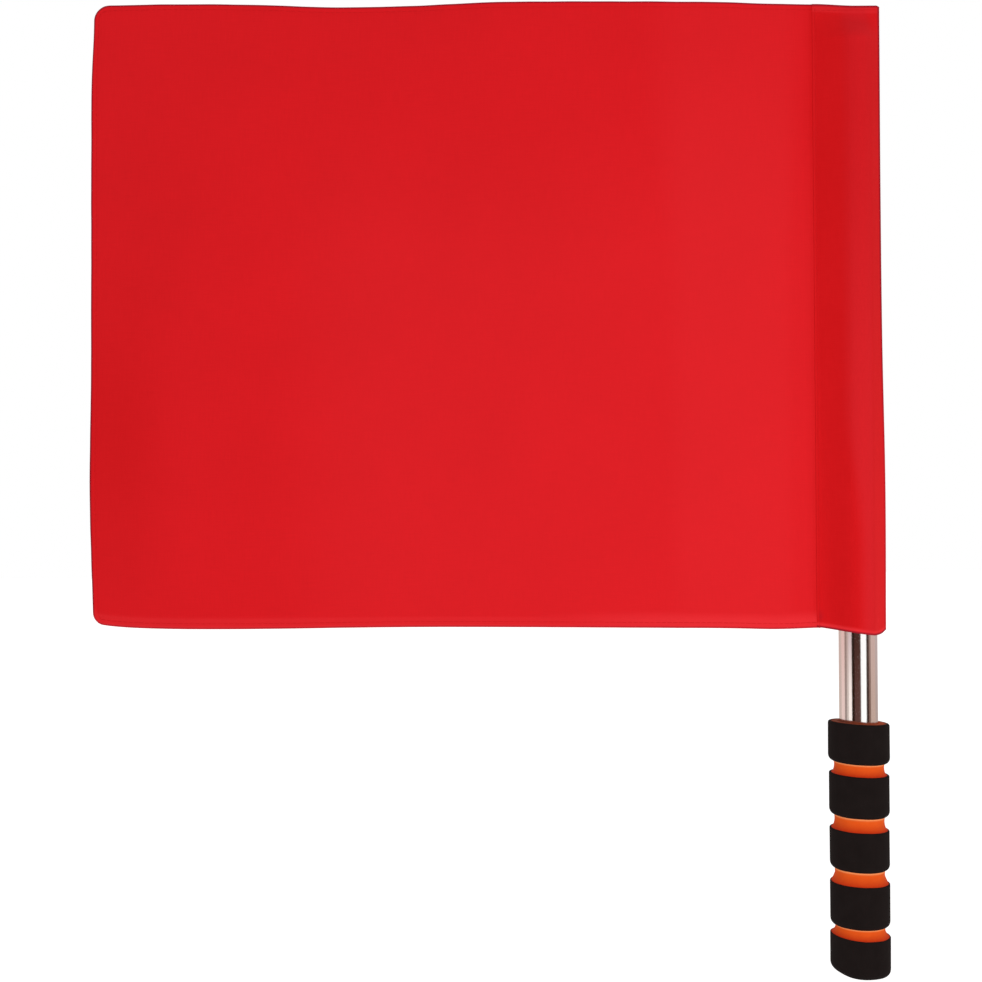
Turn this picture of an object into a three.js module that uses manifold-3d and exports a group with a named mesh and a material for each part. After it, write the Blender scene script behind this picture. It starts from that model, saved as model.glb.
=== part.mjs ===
// Linesman flag: a hemmed cloth with a sewn sleeve, on a steel tube with a two-colour foam grip.
// Millimetres. +Z runs up the pole to its tip, the cloth spreads towards -X, and the origin is on
// the pole axis at the middle of the grip, where the hand holds it.

import * as THREE from 'three';
import { mergeVertices } from 'three/addons/utils/BufferGeometryUtils.js';
import Module from 'manifold-3d';

const wasm = await Module();
wasm.setup();

// Clearance between pieces that touch on the real flag, and the overrun of every cut
const clearance = 0.3;
const overrun = 5;

// Pole: welded stainless tube with a moulded plug pressed into each end
const tubeDiameter = 19;
const tubeWall = 0.8;
const bareTubeLength = 44;
const plugFlangeThickness = 2.2;
const plugEdgeRadius = 1.2;
const plugDepth = 14;
const plugWall = 1.6;
const plugBarbHeight = 0.5;
const plugBarbCount = 3;

// Grip: orange foam core with black foam rings on it, finger grooves between the rings
const gripLength = 126;
const gripDiameter = 29.6;
const grooveHeight = 6.1;
const grooveDepth = 2.6;
const bandWall = 1.4;
const featherWall = 0.6;
const featherHeight = 1.6;
const lipInset = 1.9;
const lipHeight = 3.2;
const lipCurveShare = 0.25;
const rimRadius = 0.5;
const topRimRadius = 1.1;
const endRadius = 4.2;
const endWall = 9;
const bandHeightShares = [0.99, 1.02, 0.98, 1.055, 0.955];
const bandDiameterShares = [1.02, 1, 0.99, 0.994, 1.004];
const grooveHeightShares = [0.965, 1.1, 1.1, 0.835];
const grooveMiddleShare = 0.6;

// Cloth: woven polyester, hem turned to the back, two rounded corners at the fly
const clothThickness = 0.5;
const panelHeight = 310.5;
const flyDistanceTop = 380;
const flyDistanceBottom = 382.5;
const flyRise = 3;
const flyBow = 1.3;
const topCornerRadius = 9.5;
const bottomCornerRadius = 5;
const hemWidth = 4;
const hemStep = 0.8;
const hemFold = 0.5;
const cornerInsetShares = [0, 0.04, 0.14, 0.3, 0.7];

// Shallow waves of the hanging cloth, towards the viewer, from the seam (first) to the fly (last)
const waveDepth = 8.2;
const topWaveShares = [0, 0.8, 1, 1, 0.85, 0.12, -0.16, 0.3, 0.4, 0.12];
const bottomWaveShares = [0, 0.55, 0.45, 0.1, -0.2, -0.3, -0.1, 0.3, 0.5, 0.1];
const sagShare = 0.25;

// Sleeve: a strip folded round the pole, its crease beyond the tube and its two edges sewn to the panel
const seamDistance = 20.5;
const seamOverlap = 3;
const creaseDistance = 13.2;
const creaseHalfWidth = 0.9;
const sleeveDrop = 3;
const mouthRise = 3.4;
const mouthLowDistance = 6.5;
const topHemHeight = 4;
const closingHeight = 14;
const creaseShares = [1.07, 1.09, 1.015, 0.995, 1];
const closingShares = [0.25, 0.5, 0.75, 1];

// Facets
const gripSegments = 36;
const tubeSegments = 40;
const curveSteps = 4;
const sleeveArcSteps = 8;
const flankSteps = 3;
const panelColumns = 18;
const panelRows = 16;

// Radii and heights that follow from the driving sizes
const tubeRadius = tubeDiameter / 2;
const boreRadius = tubeRadius - tubeWall;
const gripRadius = gripDiameter / 2;
const gripTop = gripLength / 2;
const gripBottom = -gripLength / 2;
const sleeveBottom = gripTop + bareTubeLength;
const panelBottom = sleeveBottom + sleeveDrop;
const clothTop = panelBottom + panelHeight;
const closingTop = clothTop - topHemHeight;
const closingBottom = closingTop - closingHeight;
const tubeTop = closingBottom - clearance - plugFlangeThickness;
const tubeBottom = gripBottom + endWall + clearance + plugFlangeThickness;

// Materials: colour, roughness and metalness of each finish
function material(color, roughness, metalness) {
  return new THREE.MeshStandardMaterial({ color, roughness, metalness });
}

// A profile of (radius, height) points, turned about the pole axis
function turned(points, segments) {
  const geometry = new THREE.LatheGeometry(points, segments);
  geometry.rotateX(Math.PI / 2);
  return geometry;
}

// A closed turned piece: the profile runs up its outside and back down its inside
function turnedRing(profile, segments) {
  const points = profile.getPoints(curveSteps);
  const first = points[0];
  const last = points[points.length - 1];
  if (first.distanceTo(last) > 0) {
    points.push(first.clone());
  }
  return turned(points, segments);
}

// Tube: a plain ring of its full length
function poleTube() {
  const profile = new THREE.Path();
  profile.moveTo(boreRadius, tubeBottom);
  profile.lineTo(tubeRadius, tubeBottom);
  profile.lineTo(tubeRadius, tubeTop);
  profile.lineTo(boreRadius, tubeTop);
  return turnedRing(profile, tubeSegments);
}

// Plug: a rounded flange over the tube's end and a barbed hollow spigot inside the bore.
// It is drawn for the lower end, with the flange below the spigot.
function plug() {
  const spigotRadius = boreRadius - clearance - plugBarbHeight;
  const spigotTop = plugFlangeThickness + plugDepth;
  const barbPitch = plugDepth / (plugBarbCount + 1);
  const points = [new THREE.Vector2(0, 0)];
  points.push(new THREE.Vector2(tubeRadius - plugEdgeRadius, 0));
  for (let step = 1; step <= curveSteps; step += 1) {
    const angle = (step / curveSteps) * Math.PI / 2;
    const radius = tubeRadius - plugEdgeRadius * (1 - Math.sin(angle));
    points.push(new THREE.Vector2(radius, plugEdgeRadius * (1 - Math.cos(angle))));
  }
  points.push(new THREE.Vector2(tubeRadius, plugFlangeThickness - clearance));
  points.push(new THREE.Vector2(spigotRadius, plugFlangeThickness - clearance));
  for (let barb = 1; barb <= plugBarbCount; barb += 1) {
    const height = plugFlangeThickness + barb * barbPitch;
    points.push(new THREE.Vector2(spigotRadius, height - plugBarbHeight));
    points.push(new THREE.Vector2(spigotRadius + plugBarbHeight, height - plugBarbHeight));
    points.push(new THREE.Vector2(spigotRadius, height + plugBarbHeight));
  }
  points.push(new THREE.Vector2(spigotRadius, spigotTop));
  points.push(new THREE.Vector2(spigotRadius - plugWall, spigotTop));
  points.push(new THREE.Vector2(spigotRadius - plugWall, plugFlangeThickness));
  points.push(new THREE.Vector2(0, plugFlangeThickness));
  return turned(points, tubeSegments);
}

// Each ring's top, bottom and radius, from the rim of the grip downwards. The rim itself is cut square
// through both foams, so the first ring shows its full wall there, and the others are feathered thin.
function bandPlaces() {
  const bandCount = bandHeightShares.length;
  const grooveTotal = grooveHeight * grooveHeightShares.length;
  const bandHeight = (gripLength - grooveTotal) / bandCount;
  const places = [];
  let top = gripTop;
  for (let index = 0; index < bandCount; index += 1) {
    const bottom = top - bandHeight * bandHeightShares[index];
    const radius = gripRadius * bandDiameterShares[index];
    const topWall = index === 0 ? bandWall : featherWall;
    const topRound = index === 0 ? topRimRadius : rimRadius;
    places.push({ top, bottom, radius, topWall, topRound });
    top = bottom - grooveHeight * (grooveHeightShares[index] ?? 0);
  }
  places[bandCount - 1].bottom = gripBottom;
  return places;
}

// The top of a ring: its rounded shoulder, its top wall and the slope down to its full thickness
function ringTop(profile, place) {
  profile.lineTo(place.radius, place.top - place.topRound);
  profile.lineTo(place.radius - place.topRound / 2, place.top);
  profile.lineTo(place.radius - place.topWall, place.top);
  profile.lineTo(place.radius - bandWall, place.top - featherHeight);
}

// Black ring: its top is feathered thin over the core, its lower edge turned in towards the groove
function gripBand(place) {
  const inner = place.radius - bandWall;
  const lip = place.radius - lipInset;
  const lipTop = place.bottom + lipHeight;
  const profile = new THREE.Path();
  profile.moveTo(inner, place.bottom + bandWall);
  profile.lineTo(lip, place.bottom);
  const lipCurve = place.bottom + lipHeight * lipCurveShare;
  profile.quadraticCurveTo(place.radius, lipCurve, place.radius, lipTop);
  ringTop(profile, place);
  return turnedRing(profile, gripSegments);
}

// Closed black end: the same feathered top, a rounded foot and a flat end face
function gripEnd(place) {
  const inner = place.radius - bandWall;
  const profile = new THREE.Path();
  profile.moveTo(0, place.bottom);
  profile.lineTo(place.radius - endRadius, place.bottom);
  profile.quadraticCurveTo(place.radius, place.bottom, place.radius, place.bottom + endRadius);
  ringTop(profile, place);
  profile.lineTo(inner, place.bottom + endWall);
  profile.lineTo(0, place.bottom + endWall);
  return turned(profile.getPoints(curveSteps), gripSegments);
}

// Orange core: follows the inside of every ring and shows in the scooped grooves between them
function gripCore(places) {
  const boreWall = tubeRadius + clearance;
  const last = places.length - 1;
  const profile = new THREE.Path();
  const foot = places[last].bottom + endWall + clearance;
  profile.moveTo(boreWall, foot);
  profile.lineTo(places[last].radius - bandWall - clearance, foot);
  for (let index = last; index >= 0; index -= 1) {
    const place = places[index];
    const seat = place.radius - bandWall - clearance;
    const flare = place.radius - place.topWall - clearance;
    profile.lineTo(seat, place.top - featherHeight);
    profile.lineTo(flare, place.top);
    if (index > 0) {
      const above = places[index - 1];
      const floor = gripRadius - grooveDepth;
      const grooveMiddle = place.top + (above.bottom - place.top) * grooveMiddleShare;
      const lip = above.radius - lipInset - clearance;
      profile.quadraticCurveTo(floor, place.top, floor, grooveMiddle);
      profile.quadraticCurveTo(floor, above.bottom, lip, above.bottom);
      profile.lineTo(above.radius - bandWall - clearance, above.bottom + bandWall);
    }
  }
  profile.lineTo(boreWall, gripTop);
  return turnedRing(profile, gripSegments);
}

// Smooth depth of the cloth at a share of the way from the seam to the fly
function waveProfile(shares) {
  const points = shares.map((share, index) => new THREE.Vector2(index / (shares.length - 1), share));
  return new THREE.SplineCurve(points);
}

const topWave = waveProfile(topWaveShares);
const bottomWave = waveProfile(bottomWaveShares);

function waveAt(across, up) {
  const blend = THREE.MathUtils.smoothstep(up, 0, 1);
  const top = topWave.getPoint(across).y;
  const bottom = bottomWave.getPoint(across).y;
  const sag = sagShare * Math.sin(Math.PI * up) * Math.sin(2 * Math.PI * across);
  return waveDepth * (THREE.MathUtils.lerp(bottom, top, blend) - sag * across);
}

// How far a rounded corner draws the edge in, at a distance from the fly
function cornerInset(fromFly, radius) {
  if (fromFly >= radius) {
    return 0;
  }
  const across = radius - fromFly;
  return radius - Math.sqrt(radius * radius - across * across);
}

// Distance from the pole axis to the fly, which bows out in the lower half of the cloth
function flyDistance(up) {
  const down = 1 - up;
  return THREE.MathUtils.lerp(flyDistanceBottom, flyDistanceTop, up) + flyBow * Math.sin(Math.PI * down * down);
}

// Panel: a thin box whose grid is moved to the cloth's outline, waves and hem
function flagPanel() {
  const hoist = seamDistance - seamOverlap;
  const width = flyDistanceBottom - hoist;
  const flyInsets = cornerInsetShares.map((share) => share * topCornerRadius);
  flyInsets.push(hemWidth, hemWidth + hemStep, topCornerRadius + hemStep);
  flyInsets.sort((a, b) => b - a);
  const columns = [0, seamOverlap];
  const plainWidth = width - seamOverlap - topCornerRadius - hemStep;
  for (let index = 1; index < panelColumns; index += 1) {
    columns.push(seamOverlap + plainWidth * index / panelColumns);
  }
  for (const inset of flyInsets) {
    columns.push(width - inset);
  }
  const rows = [0, hemWidth, hemWidth + hemStep];
  const plainHeight = panelHeight - 2 * (hemWidth + hemStep);
  for (let index = 1; index < panelRows; index += 1) {
    rows.push(hemWidth + hemStep + plainHeight * index / panelRows);
  }
  rows.push(panelHeight - hemWidth - hemStep, panelHeight - hemWidth, panelHeight);
  const lastColumn = columns.length - 1;
  const lastRow = rows.length - 1;
  const hemColumn = columns.indexOf(width - hemWidth);

  const geometry = new THREE.BoxGeometry(lastColumn, 1, lastRow, lastColumn, 1, lastRow);
  const position = geometry.attributes.position;
  for (let index = 0; index < position.count; index += 1) {
    const column = Math.round(lastColumn / 2 - position.getX(index));
    const row = Math.round(lastRow / 2 + position.getZ(index));
    const isBack = position.getY(index) > 0;
    const place = columns[column];
    const rise = rows[row];
    const up = rise / panelHeight;
    const across = Math.max(0, place - seamOverlap) / (width - seamOverlap);
    const fly = flyDistance(up);
    const fromFly = width - place;
    const low = cornerInset(fromFly, bottomCornerRadius);
    const high = panelHeight - cornerInset(fromFly, topCornerRadius);
    const height = low + (high - low) * up;
    const isHem = column >= hemColumn || row <= 1 || row >= lastRow - 1;
    const isHemmed = isHem && place > seamOverlap;
    const middle = -waveAt(across, up);
    const back = clothThickness / 2 + (isHemmed ? hemFold : 0);
    position.setX(index, -hoist - place * (fly - hoist) / width);
    position.setY(index, middle + (isBack ? back : -clothThickness / 2));
    position.setZ(index, panelBottom + height + flyRise * across);
  }
  return geometry;
}

// Angle, from the line to the axis, at which a straight flank from a point touches a round section
function tangentAngle(distance, halfWidth, radius) {
  const reach = Math.hypot(distance, halfWidth);
  return Math.acos(radius / reach) + Math.atan2(halfWidth, distance);
}

// Points along a straight flank, from its sewn or creased edge up to the arc
function flank(edge, touch) {
  const points = [];
  for (let step = 0; step < flankSteps; step += 1) {
    points.push(edge.clone().lerp(touch, step / flankSteps));
  }
  return points;
}

// Section of the sleeve: flat seam, straight flank, arc over the tube, straight flank, crease.
// The points run round counter-clockwise, seen from the tip.
function sleeveSection(seamEnd, seamHalf, radius, crease, creaseHalf) {
  const hoist = seamDistance - seamOverlap;
  const seamAngle = tangentAngle(hoist, seamHalf, radius);
  const creaseAngle = tangentAngle(crease, creaseHalf, radius);
  const sweep = Math.PI - seamAngle - creaseAngle;
  const arc = [];
  for (let step = 0; step <= sleeveArcSteps; step += 1) {
    const angle = creaseAngle + sweep * step / sleeveArcSteps;
    arc.push(new THREE.Vector2(radius * Math.cos(angle), radius * Math.sin(angle)));
  }
  const creaseEdge = new THREE.Vector2(crease, creaseHalf);
  const seamEdge = new THREE.Vector2(-hoist, seamHalf);
  const back = flank(creaseEdge, arc[0]);
  back.push(...arc);
  back.push(...flank(seamEdge, arc[arc.length - 1]).reverse());
  back.push(new THREE.Vector2(-seamEnd, seamHalf));
  const front = back.map((point) => new THREE.Vector2(point.x, -point.y));
  return back.concat(front.reverse());
}

// A closed body through a stack of sections with equal point counts, from the lowest up
function loft(sections, heights) {
  const count = sections[0].length;
  const vertices = [];
  for (let level = 0; level < sections.length; level += 1) {
    for (const point of sections[level]) {
      vertices.push(point.x, point.y, heights[level]);
    }
  }
  const faces = [];
  for (let level = 0; level < sections.length - 1; level += 1) {
    for (let index = 0; index < count; index += 1) {
      const next = (index + 1) % count;
      const low = level * count;
      const high = low + count;
      faces.push(low + index, low + next, high + next);
      faces.push(low + index, high + next, high + index);
    }
  }
  const topStart = (sections.length - 1) * count;
  for (const [a, b, c] of THREE.ShapeUtils.triangulateShape(sections[0], [])) {
    faces.push(c, b, a);
    faces.push(topStart + a, topStart + b, topStart + c);
  }
  const geometry = new THREE.BufferGeometry();
  geometry.setAttribute('position', new THREE.Float32BufferAttribute(vertices, 3));
  geometry.setIndex(faces);
  return geometry;
}

// Between three.js geometry and a solid that can be joined and cut
function toSolid(geometry) {
  const bare = geometry.clone();
  bare.deleteAttribute('normal');
  bare.deleteAttribute('uv');
  const merged = mergeVertices(bare);
  return new wasm.Manifold(new wasm.Mesh({
    numProp: 3,
    vertProperties: merged.attributes.position.array,
    triVerts: new Uint32Array(merged.index.array),
  }));
}

function toGeometry(solid) {
  const mesh = solid.getMesh();
  const geometry = new THREE.BufferGeometry();
  geometry.setAttribute('position', new THREE.BufferAttribute(mesh.vertProperties, 3));
  geometry.setIndex(new THREE.BufferAttribute(mesh.triVerts, 1));
  return geometry;
}

// Sleeve: the outer form less the hollow that holds the pole and the slot that holds the hoist edge
function poleSleeve() {
  const innerRadius = tubeRadius + clearance;
  const outerRadius = innerRadius + clothThickness;
  const slotHalf = clothThickness / 2 + clearance;
  const seamHalf = slotHalf + clothThickness;
  const levels = creaseShares.length - 1;
  const outerSections = [];
  const outerHeights = [];
  const innerSections = [];
  const innerHeights = [];

  function addLevel(height, creaseShare) {
    const crease = creaseDistance * creaseShare;
    outerSections.push(sleeveSection(seamDistance, seamHalf, outerRadius, crease, creaseHalfWidth));
    outerHeights.push(height);
    const innerCrease = crease - clothThickness;
    const innerHalf = creaseHalfWidth - clothThickness / 2;
    innerSections.push(sleeveSection(seamDistance - seamOverlap, slotHalf, innerRadius, innerCrease, innerHalf));
    innerHeights.push(height);
  }

  // A short straight band at the mouth takes the slanted cut, and the crease wanders above it
  const mouthTop = sleeveBottom + mouthRise + hemWidth;
  addLevel(sleeveBottom, creaseShares[0]);
  innerHeights[0] -= overrun;
  for (let level = 0; level <= levels; level += 1) {
    addLevel(THREE.MathUtils.lerp(mouthTop, closingBottom, level / levels), creaseShares[level]);
  }

  // The two faces lean together over the plug and meet in the flat top hem
  const openOuter = outerSections[outerSections.length - 1];
  const openInner = innerSections[innerSections.length - 1];
  for (const share of closingShares) {
    const height = closingBottom + closingHeight * share;
    const outerHalf = THREE.MathUtils.lerp(outerRadius, seamHalf, share);
    const innerHalf = THREE.MathUtils.lerp(innerRadius, slotHalf / 2, share);
    outerSections.push(openOuter.map((point) => flattened(point, outerHalf, outerRadius, seamHalf)));
    outerHeights.push(height);
    innerSections.push(openInner.map((point) => flattened(point, innerHalf, innerRadius, slotHalf / 2)));
    innerHeights.push(height - clothThickness);
  }
  outerSections.push(outerSections[outerSections.length - 1]);
  outerHeights.push(clothTop);

  const outer = toSolid(loft(outerSections, outerHeights));
  const hollow = toSolid(loft(innerSections, innerHeights));
  const slot = toSolid(hoistSlot(slotHalf));
  const mouth = toSolid(mouthCut());
  return toGeometry(outer.subtract(hollow).subtract(slot).subtract(mouth));
}

// The slot between the sleeve's two edges, where the panel's hoist edge is sewn in
function hoistSlot(slotHalf) {
  const width = seamOverlap + overrun + clearance;
  const height = clothTop - sleeveBottom + 2 * overrun;
  const shape = new THREE.BoxGeometry(width, 2 * slotHalf, height);
  shape.translate(-(seamDistance - seamOverlap - clearance) - width / 2, 0, (clothTop + sleeveBottom) / 2);
  return shape;
}

// Everything below the mouth, which rises towards the seam from its lowest place beyond the axis
function mouthCut() {
  const reach = seamDistance + mouthLowDistance;
  const length = 2 * (reach + overrun);
  const depth = mouthRise + overrun;
  const shape = new THREE.BoxGeometry(length, 2 * seamDistance, depth);
  shape.translate(0, 0, -depth / 2);
  shape.rotateY(Math.atan2(mouthRise, reach));
  shape.translate(mouthLowDistance, 0, sleeveBottom);
  return shape;
}

// A section point drawn in towards the middle plane, no thinner than the given half width
function flattened(point, half, fullHalf, leastHalf) {
  const size = Math.max(Math.abs(point.y) * half / fullHalf, Math.min(Math.abs(point.y), leastHalf));
  return new THREE.Vector2(point.x, Math.sign(point.y) * size);
}

// The flag, as two groups: the pole that the hand holds and the cloth that turns on it
const steel = material(0xc4c6c8, 0.16, 1);
const plugPlastic = material(0x17181a, 0.5, 0);
const orangeFoam = material(0xe8601c, 0.85, 0);
const blackFoam = material(0x1e1a18, 0.8, 0);
const redCloth = material(0xdb2225, 0.75, 0);

const flag = new THREE.Group();
const pole = new THREE.Group();
const cloth = new THREE.Group();
flag.add(pole, cloth);

function addPiece(group, name, geometry, finish) {
  const mesh = new THREE.Mesh(geometry, finish.clone());
  mesh.name = name;
  group.add(mesh);
  return mesh;
}

addPiece(pole, 'pole_tube', poleTube(), steel);

const tipPlug = addPiece(pole, 'tip_plug', plug(), plugPlastic);
tipPlug.rotation.x = Math.PI;
tipPlug.position.z = tubeTop + plugFlangeThickness;

const buttPlug = addPiece(pole, 'butt_plug', plug(), plugPlastic);
buttPlug.position.z = tubeBottom - plugFlangeThickness;

const places = bandPlaces();
addPiece(pole, 'grip_core', gripCore(places), orangeFoam);
for (let index = 0; index < places.length - 1; index += 1) {
  addPiece(pole, `grip_band_${index + 1}`, gripBand(places[index]), blackFoam);
}
addPiece(pole, 'grip_end_cap', gripEnd(places[places.length - 1]), blackFoam);

addPiece(cloth, 'flag_panel', flagPanel(), redCloth);
addPiece(cloth, 'pole_sleeve', poleSleeve(), redCloth);

export default flag;
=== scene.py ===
# %% [markdown]
# # A linesman's flag
# A red cloth with a sewn sleeve turns on a polished steel tube. The tube stands in a foam grip of two
# colours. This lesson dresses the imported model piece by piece. Everything is in metres, with the pole
# along Z and the middle of the grip at the origin.

import math

import bmesh
import bpy
from mathutils import Matrix, Vector, noise


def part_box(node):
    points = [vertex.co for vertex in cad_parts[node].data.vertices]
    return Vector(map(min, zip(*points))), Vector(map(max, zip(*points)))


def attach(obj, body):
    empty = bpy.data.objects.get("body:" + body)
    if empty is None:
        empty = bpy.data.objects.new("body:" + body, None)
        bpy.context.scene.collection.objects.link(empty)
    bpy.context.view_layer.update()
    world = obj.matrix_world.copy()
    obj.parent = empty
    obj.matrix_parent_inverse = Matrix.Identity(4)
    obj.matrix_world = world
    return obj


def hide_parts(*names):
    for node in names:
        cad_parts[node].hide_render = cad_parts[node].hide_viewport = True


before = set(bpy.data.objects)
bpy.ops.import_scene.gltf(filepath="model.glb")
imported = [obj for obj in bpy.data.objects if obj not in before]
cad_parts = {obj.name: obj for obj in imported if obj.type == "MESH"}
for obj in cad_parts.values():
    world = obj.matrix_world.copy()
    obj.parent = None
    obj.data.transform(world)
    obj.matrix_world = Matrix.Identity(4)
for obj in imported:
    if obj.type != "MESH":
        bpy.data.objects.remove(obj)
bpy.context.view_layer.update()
scene = bpy.context.scene
mm = 0.001

# %% [markdown]
# ## Camera
# The photograph was taken level with the lower half of the cloth, from about 0.8 m. The tube is 19 mm
# stock and 39 pixels wide, so a pixel is half a millimetre at the pole. The pole leans half a degree
# to the left in the picture. That is a roll of the camera, because the part stands upright.

# %% Camera at the photograph's angle
picture_width = 982
focal_pixels = 1600
sensor_width = 36
camera_place = Vector((-182.85, -800, 179.5)) * mm
camera_roll = math.radians(-0.47)

lens_data = bpy.data.cameras.new("camera")
lens_data.sensor_width = sensor_width
lens_data.lens = focal_pixels / picture_width * sensor_width
lens_data.clip_start = 10 * mm
camera = bpy.data.objects.new("camera", lens_data)
level = Matrix.Rotation(math.pi / 2, 4, "X")
camera.matrix_world = Matrix.Translation(camera_place) @ level @ Matrix.Rotation(camera_roll, 4, "Z")
scene.collection.objects.link(camera)
scene.camera = camera
scene.view_settings.view_transform = "Standard"
print("Lens in mm:", round(lens_data.lens, 2))

# %% [markdown]
# ## Colours and shader nodes
# Colours are written as the hex values a painter would pick on screen, and one function turns them to
# the linear numbers that Blender calculates with. Another adds a shader node, whose inputs are numbers,
# colours or the outputs of other nodes. Short ones for sums, noise, bumps and blends build on it.

# %% Helpers for colours and nodes
def linear(code):
    """Linear RGBA of an sRGB hex code such as #db2225."""
    channels = [int(code[start:start + 2], 16) / 255 for start in (1, 3, 5)]
    return [c / 12.92 if c <= 0.04045 else ((c + 0.055) / 1.055) ** 2.4 for c in channels] + [1]


def feed(tree, node, inputs):
    """Links a node's inputs to the outputs of other nodes, or sets them to numbers and colours."""
    for name, value in inputs.items():
        if isinstance(value, bpy.types.NodeSocket):
            tree.links.new(value, node.inputs[name])
        else:
            node.inputs[name].default_value = value


def add(tree, kind, inputs=None, **settings):
    """Adds a node, sets its properties and feeds its inputs."""
    made = tree.nodes.new(kind)
    for name, value in settings.items():
        setattr(made, name, value)
    feed(tree, made, inputs or {})
    return made


def figure(tree, operation, *values):
    """The result of a calculation with one, two or three numbers or outputs."""
    return add(tree, "ShaderNodeMath", dict(enumerate(values)), operation=operation).outputs[0]


def patches(tree, vector, size, detail=2):
    """A share from 0 to 1 in soft patches of about one size."""
    made = add(tree, "ShaderNodeTexNoise", {"Vector": vector, "Scale": 1 / size, "Detail": detail})
    return made.outputs["Fac"]


def bumps(tree, height, strength, distance):
    """Normals of a surface that a share from 0 to 1 lifts by up to a distance."""
    given = {"Height": height, "Strength": strength, "Distance": distance}
    return add(tree, "ShaderNodeBump", given).outputs[0]


def mix(tree, share, first, second):
    """The colour that lies a share of the way from the first to the second."""
    return add(tree, "ShaderNodeMix", {0: share, 6: first, 7: second}, data_type="RGBA").outputs[2]


def seen_by(tree, *rays):
    """1 for rays of the named kinds, 0 for others."""
    path = add(tree, "ShaderNodeLightPath")
    share = path.outputs[rays[0]]
    for ray in rays[1:]:
        share = figure(tree, "MAXIMUM", share, path.outputs[ray])
    return share


def new_material(name):
    """A material with its node tree and its Principled shader."""
    material = bpy.data.materials.new(name)
    material.use_nodes = True
    return material, material.node_tree, material.node_tree.nodes["Principled BSDF"]


def mesh_object(name, mesh, material):
    """Puts a mesh in the scene as an object with one material and smooth faces."""
    mesh.materials.clear()
    mesh.materials.append(material)
    mesh.shade_smooth()
    made = bpy.data.objects.new(name, mesh)
    scene.collection.objects.link(made)
    print(name, "has", len(mesh.polygons), "faces")
    return made


def new_object(name, bm, material):
    """Turns a bmesh into an object."""
    mesh = bpy.data.meshes.new(name)
    bm.to_mesh(mesh)
    bm.free()
    return mesh_object(name, mesh, material)


# %% [markdown]
# ## Floor and light
# The photograph is lit flatly, and the world gives most of the light. One large lamp near the camera,
# low and a little to the right, makes the cloth darker towards the fly and its top. The camera and
# reflections see a white world, which is the background.

# %% World
world = bpy.data.worlds.new("studio")
scene.world = world
world.use_nodes = True
tree = world.node_tree
tree.nodes.clear()
ambient_strength = 0.74
shown = seen_by(tree, "Is Camera Ray", "Is Glossy Ray", "Is Transmission Ray")
ambient = add(tree, "ShaderNodeBackground", {"Color": (1, 1, 1, 1), "Strength": ambient_strength})
white = add(tree, "ShaderNodeBackground", {"Color": (1, 1, 1, 1), "Strength": 1})
either = add(tree, "ShaderNodeMixShader", {0: shown, 1: ambient.outputs[0], 2: white.outputs[0]})
add(tree, "ShaderNodeOutputWorld", {"Surface": either.outputs[0]})
print("World: ambient", ambient_strength)

# %% Lamp
lamp_place = Vector((150, -750, 40)) * mm
lamp_target = Vector((-60, 0, 180)) * mm
lamp_watts = 1.8

lamp_data = bpy.data.lights.new("near_lamp", "AREA")
lamp_data.size = 400 * mm
lamp_data.energy = lamp_watts
lamp = bpy.data.objects.new("near_lamp", lamp_data)
turn = (lamp_place - lamp_target).to_track_quat("Z", "Y").to_matrix().to_4x4()
lamp.matrix_world = Matrix.Translation(lamp_place) @ turn
lamp.visible_camera = False
lamp.visible_glossy = False
scene.collection.objects.link(lamp)
print("Lamp:", lamp_watts, "W")

# %% Floor
floor_height = -180 * mm
floor_half = 6
floor_glow = 0.45

bm = bmesh.new()
bmesh.ops.create_grid(bm, x_segments=1, y_segments=1, size=floor_half)
bmesh.ops.translate(bm, verts=bm.verts, vec=(0, 0, floor_height))
floor_paint, tree, surface = new_material("matt_white_floor")
feed(tree, surface, {"Base Color": linear("#f4f4f3"), "Roughness": 0.9, "Specular IOR Level": 0.1})
glow = add(tree, "ShaderNodeEmission", {"Color": (1, 1, 1, 1), "Strength": floor_glow})
sum_of_both = add(tree, "ShaderNodeAddShader", {0: surface.outputs[0], 1: glow.outputs[0]})
seen = seen_by(tree, "Is Camera Ray", "Is Glossy Ray")
either = add(tree, "ShaderNodeMixShader", {0: seen, 1: surface.outputs[0], 2: sum_of_both.outputs[0]})
feed(tree, tree.nodes["Material Output"], {"Surface": either.outputs[0]})
floor = new_object("floor", bm, floor_paint)

# %% [markdown]
# ## What the steel reflects
# A polished tube is a strip mirror: it shows the whole room squeezed into upright stripes. Photographers
# build those stripes with cards, so this studio has a ring of upright cards that only reflections see.
# Each card has its two edges in degrees, measured from the line between pole and camera, positive to the
# right, and the colour that the steel shows there at the foot of the bare tube and at its top. Steel
# swallows a fifth of the light, so the cards are a little brighter than their colours.

# %% Reflection cards
card_radius = 450 * mm
card_bottom = -170 * mm
card_height = 900 * mm
low_colour_at = 5 * mm
high_colour_at = 55 * mm
to_camera = math.degrees(math.atan2(camera_place.x, -camera_place.y))
card_strength = 1.3
cards = [
    ("card_far_left", -176, -118, "#c0aea6", "#c3ada6"),
    ("card_left", -118, -87, "#dfc5bf", "#dab7b1"),
    ("card_grey_edge", -87, -71, "#968680", "#957c75"),
    ("card_pale_left", -71, -58, "#c9bcb5", "#bba39e"),
    ("card_white_left", -58, -38, "#fbf0ea", "#c8b2b4"),
    ("card_dark_left", -38, -21, "#28160f", "#281812"),
    ("card_brown_front", -21, 15.5, "#583a35", "#432822"),
    ("card_white_front", 15.5, 49, "#ffffff", "#ffffff"),
    ("card_dark_right", 49, 66, "#38251f", "#45322c"),
    ("card_brown_right", 66, 79, "#80655b", "#937a72"),
    ("card_tan_right", 79, 120, "#bba297", "#c3a8a2"),
    ("card_far_right", 120, 176, "#ab9a95", "#b5a4a2"),
]


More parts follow.
